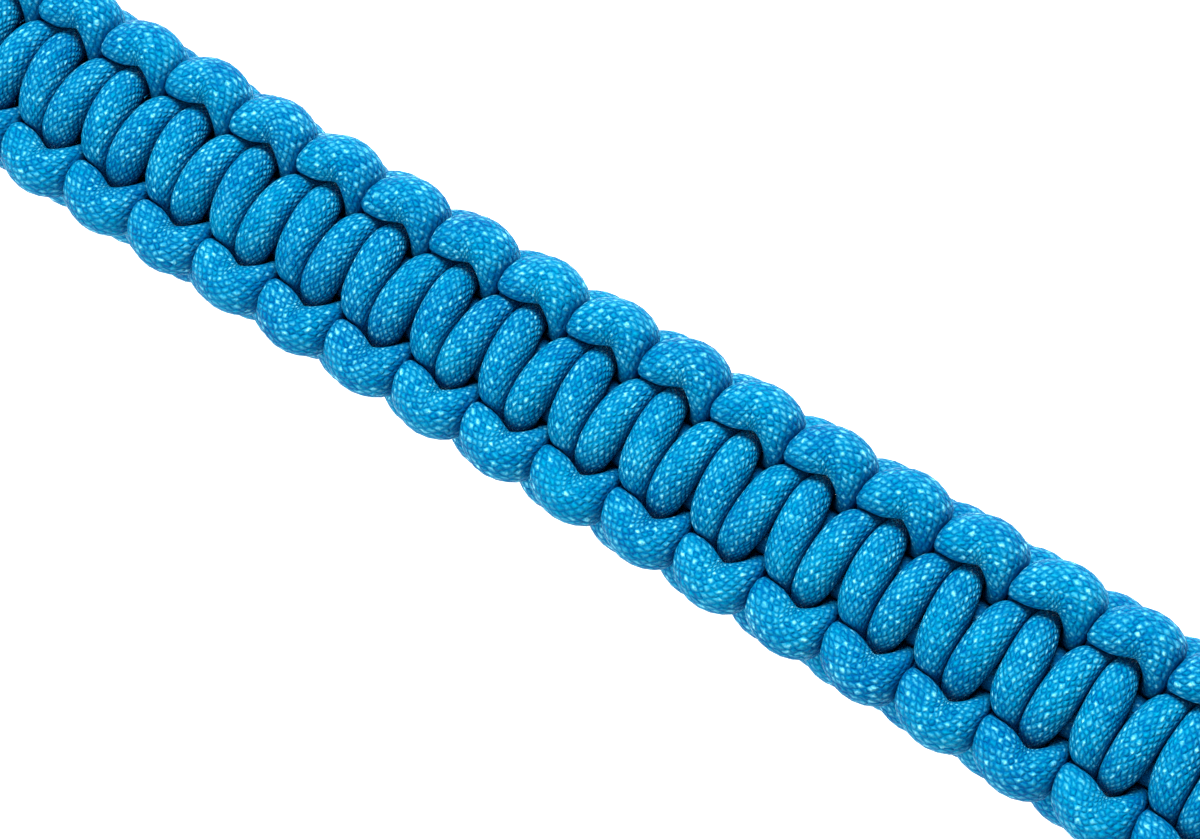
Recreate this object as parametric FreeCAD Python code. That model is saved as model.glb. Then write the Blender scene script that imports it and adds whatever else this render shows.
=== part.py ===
import FreeCAD, Part
import math
import os
from collections import namedtuple

# A paracord bracelet: two working cords knotted round two core cords, closed by one plain clasp.
# Millimetres, +Z up. The origin is under the middle of the bracelet, on the surface it lies on.
# The band runs along X. It lies pressed long: the show face is up on the top run, the band turns
# down at both ends, and the clasp closes the run underneath.
#
# Band coordinates: "along" the band in half pitches, "across" it towards +Y, and "out" of the show face.

# Driving dimensions
HALF_PITCH = 3.2        # from one bar of the weave to the next
HALF_PITCHES = 75       # bars from one end of the weave to the other
TOP_RUN = 116.0         # straight stretch between the two turns
TURN_RADIUS = 7.5       # of the band's middle layer, at both ends
HALF_THICK = 5.03       # from the middle layer to the crown of a bar
CORE_ACROSS = 1.4       # each core cord's distance from the middle line
CORE_RADIUS = 1.05
CORD_GAP = 0.12         # half of the gap left between two cords that press on each other
THINNEST = 0.3          # a pressed cord still reaches this far from its centre line
ROUNDING = 7            # how sharply a cord's round side turns into its flat, pressed side

# Clasp
BAR_SETBACK = 5.5       # from the end of the weave to the clasp's cross bar
BAR_RADIUS = 1.5
LOOP_CLEARANCE = 0.15   # between a cross bar and the core cord round it
RETURN_LENGTH = 1.0     # of each core cord's end, after its loop round a cross bar
SLOT_LENGTH = 3.7       # from a cross bar to the clasp's body
SLOT_WIDTH = 9.4
CLASP_WIDTH = 15.6
CLASP_INNER = 3.4       # how far the clasp stands in from the middle layer
CORNER_RADIUS = 3.0
EDGE_RADIUS = 1.1
WINDOW_LENGTH = 8.0     # the pressed-in places at the clasp's sides
WINDOW_DEPTH = 1.3
WINDOW_HEIGHT = 4.0
SEAM_WIDTH = 0.5        # the line where the clasp's two halves meet
SEAM_DEPTH = 0.5
SEAM_PLACE = 7.0        # from the clasp's middle to the far side of the seam
CLEAR = 1.0             # a block that cuts the clasp runs this far past it

# How finely the cords are made
SIDES = 6               # of a cord's section
FACET_GROWTH = 1.05     # corners stand out, so that a faceted cord is as thick as a round one
STEPS = 4               # parts of the run between two sections, used to find what presses on a cord
PRESSED_STEPS = 1       # parts of a run, either side of a section, over which the section feels what presses
REACH = 4.6             # how far off another cord can still press on this one
SAME_CORD = 5.0         # a cord doesn't press on itself within this length
END_DOME = 0.7          # the sealed end of a cord stands this far out
END_SHRINK = 0.6        # and is this much of the cord's size
CORE_STEP = 1.0         # between the points at which a core cord presses on the others

# One half pitch of the bar cord, from the crown of one bar to the crown of the next. The next half pitch is
# the same on the other side of the band. The edge cord is the bar cord moved on by one half pitch and turned
# over, so this table gives both. It holds the control points of a smooth curve.
Row = namedtuple("Row", "place along across out radius")
ROUTE = [
    Row("crown of the bar", 0.00, 0.0, 3.10, 1.86),
    Row("bar on its way out", -0.12, 2.0, 2.85, 1.79),
    Row("shoulder of the bar", -0.22, 3.35, 1.40, 1.50),
    Row("under the other cord", -0.18, 4.45, -0.45, 1.62),
    Row("leg down the edge", 0.02, 5.0, -1.50, 1.86),
    Row("start of the edge wrap", 0.27, 5.15, -2.78, 2.00),
    Row("middle of the edge wrap", 0.80, 6.55, -2.72, 2.00),
    Row("end of the edge wrap", 1.34, 6.2, -2.65, 1.98),
    Row("hook to the inside", 1.68, 4.8, -1.60, 1.92),
    Row("leg up between the bars", 1.53, 4.0, 0.05, 1.78),
    Row("shoulder of the next bar", 1.26, 3.25, 1.62, 1.50),
    Row("next bar on its way in", 1.12, 1.9, 2.88, 1.79),
]
ROWS = len(ROUTE)
SECTION_ROWS = (0.0, 2.2, 4.2, 6.2, 8.2, 10.0)  # where the solid cord has a section, counted in rows
WRAP_PLACE = SECTION_ROWS[3]    # both working cords start and end here, at an edge wrap
SAME_POINT = 0.001      # corners this near each other are one

LOOP = 2 * TOP_RUN + 2 * math.pi * TURN_RADIUS
WOVEN = HALF_PITCHES * HALF_PITCH
CLASP_SPAN = LOOP - WOVEN
LOW = HALF_THICK
HIGH = HALF_THICK + 2 * TURN_RADIUS


def vector(x, y, z):
    return FreeCAD.Vector(x, y, z)


def band_frame(distance):
    """The middle layer's place, its direction and its outward normal, at a distance round the loop.

    Distance 0 is the middle of the clasp. The way round is -X underneath and +X on top."""
    half = TOP_RUN / 2
    turn = math.pi * TURN_RADIUS
    if distance < half:
        return vector(-distance, 0, LOW), vector(-1, 0, 0), vector(0, 0, -1)
    distance -= half
    if distance < turn:
        angle = distance / TURN_RADIUS
        normal = vector(-math.sin(angle), 0, -math.cos(angle))
        middle = vector(-half, 0, (LOW + HIGH) / 2) + normal * TURN_RADIUS
        return middle, vector(-math.cos(angle), 0, math.sin(angle)), normal
    distance -= turn
    if distance < TOP_RUN:
        return vector(-half + distance, 0, HIGH), vector(1, 0, 0), vector(0, 0, 1)
    distance -= TOP_RUN
    if distance < turn:
        angle = distance / TURN_RADIUS
        normal = vector(math.sin(angle), 0, math.cos(angle))
        middle = vector(half, 0, (LOW + HIGH) / 2) + normal * TURN_RADIUS
        return middle, vector(math.cos(angle), 0, -math.sin(angle)), normal
    distance -= turn
    return vector(half - distance, 0, LOW), vector(-1, 0, 0), vector(0, 0, -1)


def on_band(along, across, out):
    """The point at these band coordinates, with along in half pitches from the start of the weave."""
    middle, _, normal = band_frame(CLASP_SPAN / 2 + along * HALF_PITCH)
    return middle + normal * out + vector(0, across, 0)


def control_points(turned_over):
    """Along, across, out and radius of a working cord's control points, from edge wrap to edge wrap."""
    points = []
    for bar in range(-1, HALF_PITCHES):
        side = -1 if bar % 2 else 1
        for row in ROUTE:
            if turned_over:
                points.append((bar + 1 + row.along, side * row.across, -row.out, row.radius))
            else:
                points.append((bar + row.along, side * row.across, row.out, row.radius))
    return points


def on_curve(points, place):
    """The smooth curve of a list of control points, at a place counted in control points."""
    first = int(math.floor(place))
    t = place - first
    weights = (
        (1 - t) ** 3 / 6,
        (3 * t ** 3 - 6 * t ** 2 + 4) / 6,
        (-3 * t ** 3 + 3 * t ** 2 + 3 * t + 1) / 6,
        t ** 3 / 6,
    )
    near = points[first - 1:first + 3]
    return [sum(w * p[i] for w, p in zip(weights, near)) for i in range(4)]


def section_places(turned_over):
    """Where a working cord's solid has its sections, counted in control points."""
    first = WRAP_PLACE if turned_over else ROWS + WRAP_PLACE
    last = first + ROWS * (HALF_PITCHES - 1)
    places = [turn * ROWS + row for turn in range(HALF_PITCHES + 1) for row in SECTION_ROWS]
    return [place for place in places if first <= place <= last]


def cord_line(turned_over):
    """A working cord's centre points as straight runs between its sections, each with its length so far.

    The second list has the radius at each section."""
    points = control_points(turned_over)
    line = []
    radii = []
    length = 0.0
    previous = None
    for place in section_places(turned_over):
        along, across, out, radius = on_curve(points, place)
        centre = on_band(along, across, out)
        if previous is not None:
            run = centre - previous
            for step in range(1, STEPS):
                share = step / STEPS
                line.append((previous + run * share, length + run.Length * share))
            length += run.Length
        line.append((centre, length))
        radii.append(radius)
        previous = centre
    return line, radii


def core_line(side):
    """Points along a core cord, inside the weave."""
    steps = int(WOVEN / CORE_STEP)
    points = [on_band(HALF_PITCHES * i / steps, side * CORE_ACROSS, 0) for i in range(steps + 1)]
    return [(point, 0.0) for point in points]


def cells(lines):
    """Every point of some cords, kept by the cube that it lies in, to find near ones quickly."""
    boxes = {}
    for name, line in lines.items():
        for centre, length in line:
            key = tuple(int(math.floor(c / REACH)) for c in centre)
            boxes.setdefault(key, []).append((name, centre, length))
    return boxes


def pressing(boxes, name, centre, length):
    """What may press on the cord of this name at this centre, as vectors from the centre."""
    key = [int(math.floor(c / REACH)) for c in centre]
    found = []
    for i in (-1, 0, 1):
        for j in (-1, 0, 1):
            for k in (-1, 0, 1):
                for other, point, other_length in boxes.get((key[0] + i, key[1] + j, key[2] + k), ()):
                    if other == name and abs(other_length - length) < SAME_CORD:
                        continue
                    offset = point - centre
                    if offset.Length < REACH:
                        found.append(offset)
    return found


def pressed_radius(radius, direction, offsets):
    """How far a cord reaches in one direction: round where it is free, flat where another presses on it."""
    limit = 2 * radius
    radius *= FACET_GROWTH
    for offset in offsets:
        towards = offset.dot(direction)
        if towards > 0:
            limit = min(limit, offset.dot(offset) / (2 * towards))
    limit = max(limit - CORD_GAP, THINNEST)
    return (radius ** -ROUNDING + limit ** -ROUNDING) ** (-1 / ROUNDING)


def section(centre, normal, across, radius, offsets):
    """The corners of a cord's section."""
    corners = []
    for side in range(SIDES):
        angle = 2 * math.pi * side / SIDES
        direction = normal * math.cos(angle) + across * math.sin(angle)
        corners.append(centre + direction * pressed_radius(radius, direction, offsets))
    return corners


def dome(corners, centre, direction):
    """A smaller copy of a cord's last section, a little way out."""
    return [centre + direction * END_DOME + (corner - centre) * END_SHRINK for corner in corners]


def cord_sections(line, radii, name, boxes):
    """The sections of a working cord's solid, carried along it without twist."""
    sections = []
    normal = vector(0, 1, 0)
    last = len(line) - 1
    for radius, i in zip(radii, range(0, last + 1, STEPS)):
        centre = line[i][0]
        direction = (line[min(i + 1, last)][0] - line[max(i - 1, 0)][0]).normalize()
        normal = (normal - direction * normal.dot(direction)).normalize()
        nearest = line[max(i - PRESSED_STEPS, 0):i + PRESSED_STEPS + 1]
        offsets = [offset for point, length in nearest for offset in pressing(boxes, name, point, length)]
        corners = section(centre, normal, direction.cross(normal), radius, offsets)
        if i == 0:
            sections.append(dome(corners, centre, direction * -1))
        sections.append(corners)
        if i == last:
            sections.append(dome(corners, centre, direction))
    return sections


def faceted_solid(sections):
    """A closed solid of triangles through rings of corners, with a flat end at each end."""
    corners = [corner for ring in sections for corner in ring]
    faces = []
    for ring in range(len(sections) - 1):
        for side in range(SIDES):
            a = ring * SIDES + side
            b = ring * SIDES + (side + 1) % SIDES
            faces.append((a, b, b + SIDES))
            faces.append((a, b + SIDES, a + SIDES))
    last = (len(sections) - 1) * SIDES
    for side in range(1, SIDES - 1):
        faces.append((0, side + 1, side))
        faces.append((last, last + side, last + side + 1))
    shape = Part.Shape()
    shape.makeShapeFromMesh((corners, faces), SAME_POINT)
    solid = Part.Solid(Part.Shell(shape.Faces))
    if solid.Volume < 0:
        solid.reverse()
    return solid


def core_path(side):
    """The centre line of a core cord: round the whole loop, and once round each cross bar of the clasp."""
    loop_radius = BAR_RADIUS + LOOP_CLEARANCE + CORE_RADIUS
    across = side * CORE_ACROSS
    swing = 2 * math.atan2(loop_radius, BAR_SETBACK)
    swing_radius = BAR_SETBACK / (2 * math.sin(swing))
    weave_end = CLASP_SPAN / 2
    bar = weave_end - BAR_SETBACK
    half = TOP_RUN / 2
    middle_height = (LOW + HIGH) / 2

    def at(x, z):
        return vector(x, across, z)

    def end_loop(mirror):
        """From the return under the weave, round the cross bar and up into the weave."""
        x_bar = -bar * mirror
        x_end = -weave_end * mirror
        joint_x = x_bar - mirror * swing_radius * math.sin(swing)
        joint_z = LOW - loop_radius + swing_radius * (1 - math.cos(swing))
        first_x = x_bar - mirror * swing_radius * math.sin(swing / 2)
        first_z = LOW - loop_radius + swing_radius * (1 - math.cos(swing / 2))
        second_x = x_end + mirror * swing_radius * math.sin(swing / 2)
        second_z = LOW - swing_radius * (1 - math.cos(swing / 2))
        top = LOW + loop_radius
        bottom = LOW - loop_radius
        return [
            Part.LineSegment(at(x_end + mirror * RETURN_LENGTH, top), at(x_bar, top)).toShape(),
            Part.Arc(at(x_bar, top), at(x_bar + mirror * loop_radius, LOW), at(x_bar, bottom)).toShape(),
            Part.Arc(at(x_bar, bottom), at(first_x, first_z), at(joint_x, joint_z)).toShape(),
            Part.Arc(at(joint_x, joint_z), at(second_x, second_z), at(x_end, LOW)).toShape(),
        ]

    edges = end_loop(1)
    edges.append(Part.LineSegment(at(-weave_end, LOW), at(-half, LOW)).toShape())
    edges.append(Part.Arc(at(-half, LOW), at(-half - TURN_RADIUS, middle_height), at(-half, HIGH)).toShape())
    edges.append(Part.LineSegment(at(-half, HIGH), at(half, HIGH)).toShape())
    edges.append(Part.Arc(at(half, HIGH), at(half + TURN_RADIUS, middle_height), at(half, LOW)).toShape())
    edges.append(Part.LineSegment(at(half, LOW), at(weave_end, LOW)).toShape())
    edges.extend(reversed(end_loop(-1)))
    return Part.Wire(Part.__sortEdges__(edges))


def core_cord(side):
    """A core cord as a round tube along its path."""
    path = core_path(side)
    start = path.OrderedVertexes[0].Point
    first = path.OrderedEdges[0]
    circle = Part.Circle(start, first.tangentAt(first.FirstParameter), CORE_RADIUS)
    tube = Part.BRepOffsetAPI.MakePipeShell(path)
    tube.add(Part.Wire(circle.toShape()))
    tube.build()
    tube.makeSolid()
    return tube.shape()


def block(low, high):
    """A plain block from its lowest to its highest corner."""
    size = [b - a for a, b in zip(low, high)]
    return Part.makeBox(*size, vector(*low))


def clasp_blank(length):
    """The clasp's outer form: a slab with round corners and softened edges."""
    half_length = length / 2
    half_width = CLASP_WIDTH / 2
    blank = block((-half_length, -half_width, 0), (half_length, half_width, HALF_THICK + CLASP_INNER))
    upright = [e for e in blank.Edges if e.BoundBox.ZLength > SAME_POINT]
    blank = blank.makeFillet(CORNER_RADIUS, upright)
    rims = [e for e in blank.Edges if e.BoundBox.ZLength < SAME_POINT]
    return blank.makeFillet(EDGE_RADIUS, rims)


def clasp_end(x_bar, outward, length):
    """The open end of the clasp, as the block to cut away and the cross bar to put back."""
    inner = x_bar - outward * (BAR_RADIUS + SLOT_LENGTH)
    outer = outward * (length / 2 + CLEAR)
    half_slot = SLOT_WIDTH / 2
    top = HALF_THICK + CLASP_INNER + CLEAR
    pocket = block((min(inner, outer), -half_slot, -CLEAR), (max(inner, outer), half_slot, top))
    start = vector(x_bar, -half_slot - CLEAR, LOW)
    bar = Part.makeCylinder(BAR_RADIUS, SLOT_WIDTH + 2 * CLEAR, start, vector(0, 1, 0))
    return pocket, bar


def buckle():
    """One closed clasp: a body, a cross bar at each end, a pressed-in place at each side and a seam."""
    x_bar = CLASP_SPAN / 2 - BAR_SETBACK
    length = 2 * (x_bar + BAR_RADIUS)
    body = clasp_blank(length)
    for outward in (-1, 1):
        pocket, bar = clasp_end(outward * x_bar, outward, length)
        body = body.cut(pocket).fuse(bar)
    height = HALF_THICK + CLASP_INNER
    for side in (-1, 1):
        deep = side * (CLASP_WIDTH / 2 - WINDOW_DEPTH)
        outside = side * (CLASP_WIDTH / 2 + CLEAR)
        window = block(
            (-WINDOW_LENGTH / 2, min(deep, outside), (height - WINDOW_HEIGHT) / 2),
            (WINDOW_LENGTH / 2, max(deep, outside), (height + WINDOW_HEIGHT) / 2),
        )
        body = body.cut(window)
    seam = block(
        (SEAM_PLACE - SEAM_WIDTH, -CLASP_WIDTH / 2 - CLEAR, height - SEAM_DEPTH),
        (SEAM_PLACE, CLASP_WIDTH / 2 + CLEAR, height + CLEAR),
    )
    return body.cut(seam).removeSplitter()


def save(name, shape):
    solids = shape.Solids
    box = shape.BoundBox
    corners = (box.XMin, box.YMin, box.ZMin, box.XMax, box.YMax, box.ZMax)
    size = "box %.2f %.2f %.2f to %.2f %.2f %.2f" % corners
    print(name, "valid", shape.isValid(), "solids", len(solids), "faces", len(shape.Faces), size)
    solids[0].exportStep("parts/" + name + ".step")


def main():
    os.makedirs("parts", exist_ok=True)
    bar_line, bar_radii = cord_line(False)
    edge_line, edge_radii = cord_line(True)
    boxes = cells({
        "bar_cord": bar_line,
        "edge_cord": edge_line,
        "core_cord_left": core_line(-1),
        "core_cord_right": core_line(1),
    })
    save("bar_cord", faceted_solid(cord_sections(bar_line, bar_radii, "bar_cord", boxes)))
    save("edge_cord", faceted_solid(cord_sections(edge_line, edge_radii, "edge_cord", boxes)))
    save("core_cord_left", core_cord(-1))
    save("core_cord_right", core_cord(1))
    save("buckle", buckle())
    print("each working cord is %.0f and %.0f long" % (bar_line[-1][1], edge_line[-1][1]))
    print("each core cord is %.0f long" % core_path(1).Length)


main()
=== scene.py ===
import math
from collections import namedtuple

import bpy
import numpy as np
from mathutils import Matrix, Vector


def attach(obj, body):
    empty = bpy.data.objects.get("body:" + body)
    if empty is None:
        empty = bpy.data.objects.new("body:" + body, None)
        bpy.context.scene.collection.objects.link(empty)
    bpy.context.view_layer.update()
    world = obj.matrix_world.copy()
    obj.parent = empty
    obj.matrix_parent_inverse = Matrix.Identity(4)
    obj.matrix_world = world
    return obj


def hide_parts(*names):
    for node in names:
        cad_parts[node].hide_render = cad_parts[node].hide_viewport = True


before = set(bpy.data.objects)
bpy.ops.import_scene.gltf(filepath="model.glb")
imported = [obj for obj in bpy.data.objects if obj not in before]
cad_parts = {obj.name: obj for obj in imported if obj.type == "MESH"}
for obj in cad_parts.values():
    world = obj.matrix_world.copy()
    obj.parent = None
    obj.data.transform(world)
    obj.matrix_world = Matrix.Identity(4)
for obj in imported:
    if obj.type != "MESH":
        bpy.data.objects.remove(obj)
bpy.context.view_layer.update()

# Band dimensions in millimetres, as in the part's source but for the core cords' radius.
HALF_PITCH = 3.2        # from one bar of the weave to the next
HALF_PITCHES = 75
TOP_RUN = 116.0
TURN_RADIUS = 7.5
HALF_THICK = 5.03
CORE_ACROSS = 1.4
CORE_RADIUS = 1.35      # where it loops round the clasp's cross bar, fuller than the solid
CORE_SWELL = 0.65       # added inside the weave, where nothing stretches the cord
BAR_SETBACK = 5.5
BAR_RADIUS = 1.5
LOOP_CLEARANCE = 0.15
RETURN_LENGTH = 1.0

LOOP = 2 * TOP_RUN + 2 * math.pi * TURN_RADIUS
WOVEN = HALF_PITCHES * HALF_PITCH
CLASP_SPAN = LOOP - WOVEN
LOW = HALF_THICK
HIGH = HALF_THICK + 2 * TURN_RADIUS

# One half pitch of the bar cord, as control points of a smooth curve. The next half pitch is the same on the
# other side, and the edge cord is the bar cord moved on by one half pitch and turned over.
# Along is in half pitches, the rest in millimetres. The legs and hooks are a little fuller than in the part's
# source, which closes small gaps.
Row = namedtuple("Row", "place along across out radius")
ROUTE = [
    Row("crown of the bar", 0.00, 0.0, 3.10, 1.86),
    Row("bar on its way out", -0.12, 2.0, 2.85, 1.79),
    Row("shoulder of the bar", -0.22, 3.35, 1.40, 1.50),
    Row("under the other cord", -0.18, 4.45, -0.45, 1.75),
    Row("leg down the edge", 0.02, 5.0, -1.50, 1.86),
    Row("start of the edge wrap", 0.27, 5.15, -2.78, 2.00),
    Row("middle of the edge wrap", 0.80, 6.55, -2.72, 2.00),
    Row("end of the edge wrap", 1.34, 6.2, -2.65, 1.98),
    Row("hook to the inside", 1.68, 4.8, -1.60, 2.12),
    Row("leg up between the bars", 1.53, 4.0, 0.05, 2.02),
    Row("shoulder of the next bar", 1.26, 3.25, 1.62, 1.50),
    Row("next bar on its way in", 1.12, 1.9, 2.88, 1.79),
]
WRAP_PLACE = 6.2        # both working cords start and end at this place of the route, counted in rows
UNEVEN = 0.05           # how far a hand-tied knot strays from the table, and half as far out of the band
SEED = 11

# How the cords are meshed
PLACES_PER_ROW = 8      # points of the smooth curve, before it gets even steps
CORD_STEP = 0.45
CORD_SIDES = 24
CORE_STEP = 0.5
CORE_SIDES = 16
CORE_PLACES = 0.2       # of a half pitch between a core cord's points in the weave
LOOP_POINTS = 16        # of a core cord round a cross bar
SWING_POINTS = 8        # and on each half of the way from there to the weave
SWELL_START = 3 * BAR_SETBACK   # from a core cord's end to where it starts to swell
REACH = 4.6             # how far off another cord can still press on this one
SAME_CORD = 5.0         # a cord doesn't press on itself within this length
CORD_GAP = 0.06         # half of the gap between two cords that press on each other
THINNEST = 0.3
TINY = 1e-6
ROUNDING = 7            # how sharply a cord's round side turns into its pressed side
BLOCK = 100             # sections that are worked out together
# How far out, and how large, each ring of a cord's sealed end is
SEALED_END = ((0.75, 0.05), (0.65, 0.5), (0.4, 0.85))

# The braid of the sheath
PICK = 0.56             # length of one pick along the cord
COLUMNS = 21            # of picks round the cord
BRAID_STRAY = 0.14      # how far a pick strays from its place, in picks
PICK_SHARPNESS = 1.4    # above 1, the gaps between the picks are wider
BRAID_DEPTH = 0.00013   # metres
BRAID_BUMP = 0.9
TURNS_PER_MM = 0.004    # slow twist of the sheath along the cord
SQUEEZED = 0.60         # a cord pressed to this share of its size has full painted shade and is smooth
EASED = 0.97            # and from this share on it shows its braid in full

# Noise: waves in a metre, and the range that its values mostly keep to
ALONG_WAVES = 1300.0
AROUND_WAVES = 1900.0
PATCH_WAVES = 220.0
FIBRE_WAVES = 5000.0
GRAIN_WAVES = 5000.0    # of the clasp's plastic
RUB_WAVES = 260.0
FLOOR_WAVES = 3.0
NOISE_RANGE = (0.3, 0.7)

# Shares of the way from the cord's dark colour to its light one
PAINTED_SHADE_SHARES = (0.22, 0.85)    # painted shade, from the gaps between the picks to a pick's top
TOP = 0.9                       # this high and above, a pick has no painted shade and is at its lightest
PAINTED_SHEEN_WAY_SHARES = (-0.08, 0.16)      # painted sheen, for the strands that wind one way and the other
PICK_SHARE = 0.2                # a pick may be this much lighter or darker
FIBRE_SHARE = 0.18
PATCH_SHARE = 0.15

# Painted highlights, as bright caps on some of the picks: how bright the strands and the fibres let them be
PAINTED_HIGHLIGHT_WAYS = (0.25, 1.0)        # for the strands that wind one way and the other
PAINTED_HIGHLIGHT_FIBRES = (0.2, 1.2)
PAINTED_HIGHLIGHT_FIBRE_RANGE = (0.35, 0.65)    # of the fibres' noise

# Gloss of the cord, which is dull where it is squeezed and softly shiny on free picks
ROUGHEST = 0.95
FREE_GAIN = -0.4
PICK_GAIN = -0.2
CORD_SPECULAR = 0.03
CORD_SPECULAR_TINT = (0.05, 0.75, 1.0, 1.0)
SHEEN = 0.03
SHEEN_ROUGHNESS = 0.4
SHEEN_TINT = (0.0, 0.6, 1.0, 1.0)

# Wear and gloss of the clasp
WORN_EDGES = (0.52, 0.62)       # pointiness where wear begins and where it is full
WORN_MOST = 0.6
CLASP_ROUGHNESS = (0.38, 0.55)
GRAIN_DEPTH = 0.00004           # metres
GRAIN_BUMP = 0.25

# Colours, as linear values
CORD_LIGHT = (0.0, 0.235, 0.405)
# The dark colour is the cord's darker tone and also the painted shade in the gaps between picks and in
# squeezed places
CORD_DARK_AND_SHADE = (0.0, 0.065, 0.215)
# Painted highlight: the colour of the bright caps on some picks
CORD_PAINTED_HIGHLIGHT = (0.26, 0.72, 0.86)
# Painted shade: the core cords, under the weave, get a darker copy of the cord's light colour
CORE_SHADED_LIGHT = (0.0, 0.15, 0.33)
CLASP_COLOUR = (0.03, 0.03, 0.035)
CLASP_WORN = (0.12, 0.12, 0.13)
FLOOR_COLOUR = (0.93, 0.93, 0.93)
FLOOR_SHADE = 0.98      # of the floor's colour, in its darker patches
FLOOR_GLOW = 0.45       # the photograph's white ground shows no shadow
FLOOR_ROUGHNESS = 0.9
FLOOR_SPECULAR = 0.1
FLOOR_REACH = 2.0       # metres from the middle to each side

# Light: places and sizes in metres, power in watts
Lamp = namedtuple("Lamp", "name place size power")
LAMPS = [
    Lamp("key", (-0.08, 0.42, 0.45), 0.22, 7.2),
    Lamp("fill", (-0.17, -0.40, 0.45), 0.50, 4.6),
]
WORLD_GLOW = 0.5

# Camera, found from the photograph's perspective
IMAGE_WIDTH = 1200
FOCAL_PIXELS = 3400
SENSOR = 36.0
VIEW_TILT = 18.0        # degrees, the band's +X end nearer the camera
VIEW_ROLL = math.atan(0.604)    # the band's slope in the photograph
PIXELS_PER_MM = 12.9    # at the target
TARGET = (3.5, -0.4, HIGH + 2.0)
NEAREST = 0.01          # metres, where the camera starts to see

MM = 0.001


# The loop that the band makes

def on_band(along, across, out):
    """Points at these band coordinates, with along in half pitches from the start of the weave."""
    distance = CLASP_SPAN / 2 + np.asarray(along, float) * HALF_PITCH
    half = TOP_RUN / 2
    turn = math.pi * TURN_RADIUS
    first = np.clip((distance - half) / TURN_RADIUS, 0, math.pi)
    second = np.clip((distance - half - turn - TOP_RUN) / TURN_RADIUS, 0, math.pi)
    under = np.clip(distance, 0, half)
    top = np.clip(distance - half - turn, 0, TOP_RUN)
    back = np.clip(distance - half - 2 * turn - TOP_RUN, 0, half)
    x = top - under - back + TURN_RADIUS * (np.sin(second) - np.sin(first))
    z = LOW + TURN_RADIUS * (np.cos(second) - np.cos(first))
    heading = first + second
    x = x - np.sin(heading) * out
    z = z - np.cos(heading) * out
    return np.stack([x, np.broadcast_to(across, x.shape), z], axis=1)


# The working cords' lines

def control_points(turned_over, rng):
    """Along, across, out and radius of a working cord's control points, each strayed a little."""
    points = []
    for bar in range(-1, HALF_PITCHES):
        side = -1 if bar % 2 else 1
        for row in ROUTE:
            if turned_over:
                points.append((bar + 1 + row.along, side * row.across, -row.out, row.radius))
            else:
                points.append((bar + row.along, side * row.across, row.out, row.radius))
    points = np.array(points)
    strays = rng.normal(0, UNEVEN, (len(points), 3))
    points[:, 0] += strays[:, 0] / HALF_PITCH
    points[:, 1] += strays[:, 1]
    points[:, 2] += strays[:, 2] / 2
    return points


def on_curve(points, places):
    """The smooth curve of the control points, at places counted in control points."""
    first = np.floor(places).astype(int)
    t = (places - first)[:, None]
    return (
        (1 - t) ** 3 / 6 * points[first - 1]
        + (3 * t ** 3 - 6 * t ** 2 + 4) / 6 * points[first]
        + (-3 * t ** 3 + 3 * t ** 2 + 3 * t + 1) / 6 * points[first + 1]
        + t ** 3 / 6 * points[first + 2]
    )


def resample(line, step):
    """The same line with even steps, and the length so far at each point."""
    runs = np.linalg.norm(np.diff(line[:, :3], axis=0), axis=1)
    lengths = np.concatenate([[0.0], np.cumsum(runs)])
    even = np.linspace(0, lengths[-1], int(round(lengths[-1] / step)) + 1)
    return np.stack([np.interp(even, lengths, column) for column in line.T], axis=1), even


def cord_line(turned_over, rng):
    """Centre, radius and length so far, all along a working cord."""
    rows = len(ROUTE)
    first = WRAP_PLACE if turned_over else rows + WRAP_PLACE
    last = first + rows * (HALF_PITCHES - 1)
    places = np.linspace(first, last, int((last - first) * PLACES_PER_ROW))
    curve = on_curve(control_points(turned_over, rng), places)
    centres = on_band(curve[:, 0], curve[:, 1], curve[:, 2])
    line, lengths = resample(np.column_stack([centres, curve[:, 3]]), CORD_STEP)
    return line[:, :3], line[:, 3], lengths


def core_line(side):
    """Centre points of a core cord: through the whole weave and once round each cross bar of the clasp."""
    loop_radius = BAR_RADIUS + LOOP_CLEARANCE + CORE_RADIUS
    swing = 2 * math.atan2(loop_radius, BAR_SETBACK)
    swing_radius = BAR_SETBACK / (2 * math.sin(swing))
    weave_end = CLASP_SPAN / 2
    bar = weave_end - BAR_SETBACK
    around = np.linspace(math.pi / 2, -math.pi / 2, LOOP_POINTS)
    rise = np.linspace(0, swing, SWING_POINTS)[1:]
    fall = rise[::-1]
    x = np.concatenate([
        [RETURN_LENGTH - weave_end],
        loop_radius * np.cos(around) - bar,
        -bar - swing_radius * np.sin(rise),
        swing_radius * np.sin(fall) - weave_end,
    ])
    z = np.concatenate([
        [LOW + loop_radius],
        LOW + loop_radius * np.sin(around),
        LOW - loop_radius + swing_radius * (1 - np.cos(rise)),
        LOW - swing_radius * (1 - np.cos(fall)),
    ])
    start = np.stack([x, np.full_like(x, side * CORE_ACROSS), z], axis=1)
    end = start[::-1] * (-1, 1, 1)
    along = np.arange(0, HALF_PITCHES + CORE_PLACES / 2, CORE_PLACES)
    middle = on_band(along, side * CORE_ACROSS, 0.0)
    centres, lengths = resample(np.concatenate([start, middle, end]), CORE_STEP)
    return centres, lengths


# Cross-sections

def cord_frames(centres):
    """Two directions square to the cord at each point, carried along it without twist."""
    tangents = np.gradient(centres, axis=0)
    tangents /= np.linalg.norm(tangents, axis=1)[:, None]
    normals = np.zeros_like(centres)
    normal = np.array([0.0, 1.0, 0.0])
    for i, tangent in enumerate(tangents):
        normal = normal - tangent * (normal @ tangent)
        normal /= np.linalg.norm(normal)
        normals[i] = normal
    return tangents, normals, np.cross(tangents, normals)


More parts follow.
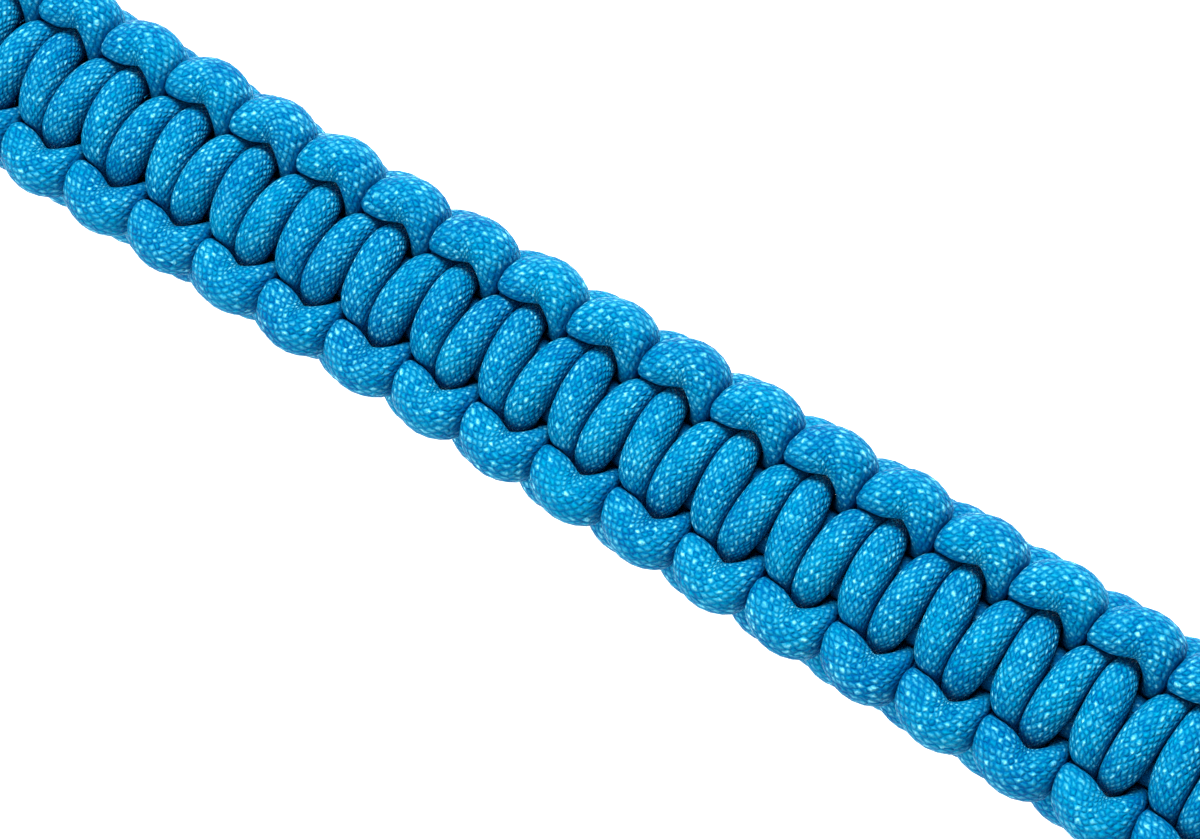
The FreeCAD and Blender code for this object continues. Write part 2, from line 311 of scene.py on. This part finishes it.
def ring_directions(centres, sides):
    """The directions from each centre to the corners of its section, and the cord's own direction."""
    tangents, normals, binormals = cord_frames(centres)
    angles = np.arange(sides) * 2 * math.pi / sides
    directions = (
        np.cos(angles)[None, :, None] * normals[:, None]
        + np.sin(angles)[None, :, None] * binormals[:, None]
    )
    return directions, tangents


def near(points, block):
    """Which points lie near enough to a block of sections to press on it."""
    low = block.min(axis=0) - REACH
    high = block.max(axis=0) + REACH
    return ((points > low) & (points < high)).all(axis=1)


def halfway(directions, block, points, allowed):
    """How far each corner may go before it is nearer to another cord's line than to its own."""
    offsets = points[None] - block[:, None]
    squares = (offsets ** 2).sum(axis=2)
    towards = np.einsum("ijk,ilk->ijl", directions, offsets)
    presses = (squares < REACH ** 2) & allowed
    presses = presses[:, None, :] & (towards > TINY)
    limits = np.where(presses, squares[:, None, :] / np.maximum(2 * towards, TINY), 2 * REACH)
    return limits.min(axis=2, initial=2 * REACH)


def pressed_limits(centres, lengths, directions, others):
    """How far each corner of each section may go, from what presses on the cord."""
    limits = np.zeros(directions.shape[:2])
    for start in range(0, len(centres), BLOCK):
        part = slice(start, start + BLOCK)
        block = centres[part]
        own = near(centres, block)
        apart = np.abs(lengths[own][None] - lengths[part][:, None]) > SAME_CORD
        found = halfway(directions[part], block, centres[own], apart)
        for other in others:
            points = other[near(other, block)]
            found = np.minimum(found, halfway(directions[part], block, points, True))
        limits[part] = found
    return limits


def pressed_sizes(radii, limits):
    """The cord's reach at each corner: round where it is free, flat where another presses on it."""
    limits = np.maximum(limits - CORD_GAP, THINNEST)
    sizes = (radii[:, None] ** -ROUNDING + limits ** -ROUNDING) ** (-1 / ROUNDING)
    sizes = (np.roll(sizes, 1, axis=1) + 2 * sizes + np.roll(sizes, -1, axis=1)) / 4
    before = np.concatenate([sizes[:1], sizes[:-1]])
    after = np.concatenate([sizes[1:], sizes[-1:]])
    return (before + 2 * sizes + after) / 4


def rings_of(centres, directions, sizes, radii, tangents, lengths):
    """Rings of corners all along a cord, with its sealed ends, the length at each ring and how free it is.

    A corner is free at 1, and near 0 where other cords squeeze it."""
    rings = centres[:, None] + directions * sizes[..., None]
    starts = [
        centres[0] - tangents[0] * out + (rings[0] - centres[0]) * size for out, size in SEALED_END
    ]
    ends = [
        centres[-1] + tangents[-1] * out + (rings[-1] - centres[-1]) * size
        for out, size in reversed(SEALED_END)
    ]
    all_rings = np.concatenate([starts, rings, ends])
    outs = np.array([out for out, _ in SEALED_END])
    all_lengths = np.concatenate([-outs, lengths, lengths[-1] + outs[::-1]])
    free = np.clip(sizes / radii[:, None], 0, 1)
    capped = np.ones((len(SEALED_END), free.shape[1]))
    return all_rings, all_lengths, np.concatenate([capped, free, capped])


# Meshes

def tube_object(name, rings, lengths, free):
    """A closed tube through rings of corners, with the cord's length and turn as its braid map."""
    count, sides, _ = rings.shape
    corners = np.arange(count * sides).reshape(count, sides)
    around = np.roll(corners, -1, axis=1)
    faces = np.stack([corners[:-1], around[:-1], around[1:], corners[1:]], axis=-1).reshape(-1, 4)
    caps = [tuple(corners[0][::-1].tolist()), tuple(corners[-1].tolist())]
    mesh = bpy.data.meshes.new(name)
    mesh.from_pydata((rings.reshape(-1, 3) * MM).tolist(), [], faces.tolist() + caps)
    mesh.polygons.foreach_set("use_smooth", [True] * len(mesh.polygons))
    turn = np.arange(sides + 1) / sides
    u = np.broadcast_to(lengths[:, None], (count, sides + 1))
    v = turn[None] + u * TURNS_PER_MM
    braid = np.stack([u, v], axis=-1)
    quads = np.stack([braid[:-1, :-1], braid[:-1, 1:], braid[1:, 1:], braid[1:, :-1]], axis=2)
    ends = np.concatenate([np.tile(braid[0, 0], (sides, 1)), np.tile(braid[-1, 0], (sides, 1))])
    mesh.attributes.new("free", "FLOAT", "POINT").data.foreach_set("value", free.ravel())
    layer = mesh.uv_layers.new(name="braid")
    layer.data.foreach_set("uv", np.concatenate([quads.reshape(-1, 2), ends]).ravel())
    mesh.validate()
    piece = bpy.data.objects.new(name, mesh)
    bpy.context.scene.collection.objects.link(piece)
    return piece


def dress(piece, material, node):
    """The piece gets its material, stands for its CAD node and moves with the part."""
    piece.data.materials.append(material)
    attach(piece, "root")
    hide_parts(node)


def make_working_cords(lines, material):
    cores = [core_line(side)[0] for side in (-1, 1)]
    for node, other in (("bar_cord", "edge_cord"), ("edge_cord", "bar_cord")):
        centres, radii, lengths = lines[node]
        directions, tangents = ring_directions(centres, CORD_SIDES)
        limits = pressed_limits(centres, lengths, directions, [lines[other][0]] + cores)
        sizes = pressed_sizes(radii, limits)
        rings = rings_of(centres, directions, sizes, radii, tangents, lengths)
        dress(tube_object(node + "_braid", *rings), material, node)


def make_core_cords(working_lines, material):
    for node, side in (("core_cord_left", -1), ("core_cord_right", 1)):
        centres, lengths = core_line(side)
        directions, tangents = ring_directions(centres, CORE_SIDES)
        inside = np.minimum(lengths, lengths[-1] - lengths) - SWELL_START
        radii = CORE_RADIUS + CORE_SWELL * np.clip(inside / BAR_SETBACK, 0, 1)
        limits = pressed_limits(centres, lengths, directions, working_lines + [core_line(-side)[0]])
        sizes = pressed_sizes(radii, limits)
        rings = rings_of(centres, directions, sizes, radii, tangents, lengths)
        dress(tube_object(node + "_braid", *rings), material, node)


# Materials

def new_material(name):
    material = bpy.data.materials.new(name)
    material.use_nodes = True
    return material, material.node_tree, material.node_tree.nodes["Principled BSDF"]


def join(tree, value, socket):
    """Links a node's output to a socket, or sets the socket to a plain value."""
    if isinstance(value, bpy.types.NodeSocket):
        tree.links.new(value, socket)
    else:
        socket.default_value = value


def maths(tree, operation, *values):
    node = tree.nodes.new("ShaderNodeMath")
    node.operation = operation
    for value, socket in zip(values, node.inputs):
        join(tree, value, socket)
    return node.outputs[0]


def total(tree, first, *others):
    for other in others:
        first = maths(tree, "ADD", first, other)
    return first


def product(tree, first, *others):
    for other in others:
        first = maths(tree, "MULTIPLY", first, other)
    return first


def spread(tree, value, low, high, to_low, to_high):
    """The value, with low to high stretched to the new range and held inside it."""
    node = tree.nodes.new("ShaderNodeMapRange")
    for socket, number in zip(node.inputs, (value, low, high, to_low, to_high)):
        join(tree, number, socket)
    return node.outputs[0]


def noise(tree, waves, detail):
    node = tree.nodes.new("ShaderNodeTexNoise")
    tree.links.new(tree.nodes.new("ShaderNodeTexCoord").outputs["Object"], node.inputs["Vector"])
    node.inputs["Scale"].default_value = waves
    node.inputs["Detail"].default_value = detail
    return node.outputs["Fac"]


def stray(tree, fac, reach):
    """A noise's value turned into one from -reach to reach."""
    return spread(tree, fac, *NOISE_RANGE, -reach, reach)


def blend_colours(tree, share, first, second):
    node = tree.nodes.new("ShaderNodeMix")
    node.data_type = "RGBA"
    join(tree, share, node.inputs["Factor"])
    for value, socket in ((first, node.inputs[6]), (second, node.inputs[7])):
        join(tree, value if isinstance(value, bpy.types.NodeSocket) else (*value, 1.0), socket)
    return node.outputs[2]


def add_bump(tree, shader, height, strength, depth):
    bump = tree.nodes.new("ShaderNodeBump")
    bump.inputs["Strength"].default_value = strength
    bump.inputs["Distance"].default_value = depth
    tree.links.new(height, bump.inputs["Height"])
    tree.links.new(bump.outputs[0], shader.inputs["Normal"])


def pad(tree, strand):
    """A rounded profile across a strand: 1 at its middle and 0 at its edges, where the number is whole."""
    off_middle = maths(tree, "SUBTRACT", maths(tree, "FRACT", strand), 0.5)
    far = maths(tree, "MULTIPLY", maths(tree, "ABSOLUTE", off_middle), 2.0)
    return maths(tree, "SUBTRACT", 1.0, maths(tree, "POWER", far, 2.0))


def braid_pattern(tree):
    """The sheath's picks: rounded lozenges, where strands that wind both ways round the cord cross.

    Gives the height of the picks, a number for each pick, and 0 or 1 for the way that its strand winds."""
    braid = tree.nodes.new("ShaderNodeUVMap")
    braid.uv_map = "braid"
    split = tree.nodes.new("ShaderNodeSeparateXYZ")
    tree.links.new(braid.outputs[0], split.inputs[0])
    waver = stray(tree, noise(tree, ALONG_WAVES, 2.0), BRAID_STRAY)
    along = total(tree, maths(tree, "DIVIDE", split.outputs[0], PICK), waver)
    waver = stray(tree, noise(tree, AROUND_WAVES, 2.0), BRAID_STRAY)
    around = maths(tree, "MULTIPLY_ADD", split.outputs[1], COLUMNS, waver)
    strands = [maths(tree, operation, around, along) for operation in ("ADD", "SUBTRACT")]
    height = product(tree, *[pad(tree, strand) for strand in strands])
    height = maths(tree, "POWER", height, PICK_SHARPNESS)
    first, second = [maths(tree, "FLOOR", strand) for strand in strands]
    both = total(tree, first, second)
    cell = tree.nodes.new("ShaderNodeCombineXYZ")
    join(tree, maths(tree, "FLOORED_MODULO", both, 2 * COLUMNS), cell.inputs[0])
    join(tree, maths(tree, "SUBTRACT", first, second), cell.inputs[1])
    chance = tree.nodes.new("ShaderNodeTexWhiteNoise")
    tree.links.new(cell.outputs[0], chance.inputs["Vector"])
    return height, chance.outputs["Value"], maths(tree, "FLOORED_MODULO", both, 2)


def freedom(tree):
    """0 where other cords squeeze this one, and 1 where it is free."""
    free = tree.nodes.new("ShaderNodeAttribute")
    free.attribute_name = "free"
    return spread(tree, free.outputs["Fac"], SQUEEZED, EASED, 0.0, 1.0)


def cord_colour(tree, height, chance, way, free, light):
    """Painted shade in the gaps and squeezed places, painted sheen on the strands of one way, picks that
    differ a little, and painted highlights as bright caps on some of them.
    """
    fibres = noise(tree, FIBRE_WAVES, 1.0)
    # The share holds painted shade in the gaps, painted sheen by the strands' way, and the picks' own random
    # tone
    share = total(
        tree,
        spread(tree, height, 0.0, TOP, *PAINTED_SHADE_SHARES),
        stray(tree, fibres, FIBRE_SHARE),
        spread(tree, chance, 0.0, 1.0, -PICK_SHARE, PICK_SHARE),
        stray(tree, noise(tree, PATCH_WAVES, 3.0), PATCH_SHARE),
        spread(tree, way, 0.0, 1.0, *PAINTED_SHEEN_WAY_SHARES),
    )
    # Squeezed places get painted shade, down to the dark colour
    colour = blend_colours(tree, product(tree, share, free), CORD_DARK_AND_SHADE, light)
    # Painted highlight: bright caps on the tops of some picks
    painted_highlight = product(
        tree,
        maths(tree, "POWER", chance, 2.0),
        spread(tree, way, 0.0, 1.0, *PAINTED_HIGHLIGHT_WAYS),
        spread(tree, fibres, *PAINTED_HIGHLIGHT_FIBRE_RANGE, *PAINTED_HIGHLIGHT_FIBRES),
        maths(tree, "POWER", height, 2.0),
    )
    return blend_colours(tree, painted_highlight, colour, CORD_PAINTED_HIGHLIGHT)


def cord_material(name, light):
    """Braided nylon: rows of small picks, each a little lighter or darker, with a soft sheen."""
    material, tree, shader = new_material(name)
    height, chance, way = braid_pattern(tree)
    free = freedom(tree)
    height = product(tree, height, free)
    join(tree, cord_colour(tree, height, chance, way, free, light), shader.inputs["Base Color"])
    rough = maths(tree, "MULTIPLY_ADD", free, FREE_GAIN, ROUGHEST)
    rough = maths(tree, "MULTIPLY_ADD", chance, PICK_GAIN, rough)
    join(tree, rough, shader.inputs["Roughness"])
    shader.inputs["Specular IOR Level"].default_value = CORD_SPECULAR
    shader.inputs["Specular Tint"].default_value = CORD_SPECULAR_TINT
    shader.inputs["Sheen Weight"].default_value = SHEEN
    shader.inputs["Sheen Roughness"].default_value = SHEEN_ROUGHNESS
    shader.inputs["Sheen Tint"].default_value = SHEEN_TINT
    add_bump(tree, shader, height, BRAID_BUMP, BRAID_DEPTH)
    return material


def clasp_material():
    """Black moulded plastic: a fine satin grain, with edges and faces rubbed here and there."""
    material, tree, shader = new_material("clasp_plastic")
    grain = noise(tree, GRAIN_WAVES, 2.0)
    rubbed = noise(tree, RUB_WAVES, 4.0)
    pointed = tree.nodes.new("ShaderNodeNewGeometry").outputs["Pointiness"]
    worn = product(tree, spread(tree, pointed, *WORN_EDGES, 0.0, WORN_MOST), rubbed)
    join(tree, blend_colours(tree, worn, CLASP_COLOUR, CLASP_WORN), shader.inputs["Base Color"])
    join(tree, spread(tree, rubbed, *NOISE_RANGE, *CLASP_ROUGHNESS), shader.inputs["Roughness"])
    add_bump(tree, shader, grain, GRAIN_BUMP, GRAIN_DEPTH)
    return material


def floor_material():
    material, tree, shader = new_material("floor_white")
    patches = noise(tree, FLOOR_WAVES, 2.0)
    shade = tuple(FLOOR_SHADE * value for value in FLOOR_COLOUR)
    join(tree, blend_colours(tree, patches, FLOOR_COLOUR, shade), shader.inputs["Base Color"])
    shader.inputs["Roughness"].default_value = FLOOR_ROUGHNESS
    shader.inputs["Specular IOR Level"].default_value = FLOOR_SPECULAR
    shader.inputs["Emission Color"].default_value = (1, 1, 1, 1)
    shader.inputs["Emission Strength"].default_value = FLOOR_GLOW
    return material


def dress_clasp():
    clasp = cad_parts["buckle"]
    material = clasp_material()
    for place in clasp.material_slots:
        place.material = material


# Stage, light and camera

def make_floor():
    mesh = bpy.data.meshes.new("floor")
    signs = ((-1, -1), (1, -1), (1, 1), (-1, 1))
    mesh.from_pydata([(x * FLOOR_REACH, y * FLOOR_REACH, 0) for x, y in signs], [], [(0, 1, 2, 3)])
    floor = bpy.data.objects.new("floor", mesh)
    bpy.context.scene.collection.objects.link(floor)
    mesh.materials.append(floor_material())


def soft_light(lamp):
    """A square light, turned to the middle of the top run."""
    light = bpy.data.lights.new(lamp.name, "AREA")
    light.size = lamp.size
    light.energy = lamp.power
    holder = bpy.data.objects.new(lamp.name, light)
    bpy.context.scene.collection.objects.link(holder)
    holder.location = lamp.place
    aim = Vector((0, 0, HIGH * MM)) - Vector(lamp.place)
    holder.rotation_euler = aim.to_track_quat("-Z", "Y").to_euler()


def make_light():
    world = bpy.data.worlds.new("studio")
    world.use_nodes = True
    background = world.node_tree.nodes["Background"]
    background.inputs["Color"].default_value = (1, 1, 1, 1)
    background.inputs["Strength"].default_value = WORLD_GLOW
    bpy.context.scene.world = world
    for lamp in LAMPS:
        soft_light(lamp)


def make_camera():
    tilt = math.radians(VIEW_TILT)
    along = Vector((math.cos(tilt), 0, -math.sin(tilt)))
    across = Vector((0, 1, 0))
    towards = Vector((math.sin(tilt), 0, math.cos(tilt)))
    right = math.cos(VIEW_ROLL) * along + math.sin(VIEW_ROLL) * across
    up = math.cos(VIEW_ROLL) * across - math.sin(VIEW_ROLL) * along
    distance = FOCAL_PIXELS / (PIXELS_PER_MM / math.cos(tilt))
    place = (Vector(TARGET) + towards * distance) * MM
    turned = Matrix((right, up, towards)).transposed().to_4x4()
    camera = bpy.data.cameras.new("camera")
    camera.sensor_width = SENSOR
    camera.lens = SENSOR * FOCAL_PIXELS / IMAGE_WIDTH
    camera.clip_start = NEAREST
    holder = bpy.data.objects.new("camera", camera)
    holder.matrix_world = Matrix.Translation(place) @ turned
    bpy.context.scene.collection.objects.link(holder)
    bpy.context.scene.camera = holder


def write_sizes():
    """Brings the scene up to date."""
    bpy.context.view_layer.update()


def main():
    bpy.context.scene.view_settings.view_transform = "Standard"
    make_camera()
    make_light()
    make_floor()
    rng = np.random.default_rng(SEED)
    lines = {
        "bar_cord": cord_line(False, rng),
        "edge_cord": cord_line(True, rng),
    }
    make_working_cords(lines, cord_material("cord_braid", CORD_LIGHT))
    # The core cords get a darker copy of the cord material as painted shade
    make_core_cords([line[0] for line in lines.values()], cord_material("core_braid_shaded", CORE_SHADED_LIGHT))
    dress_clasp()
    write_sizes()


main()
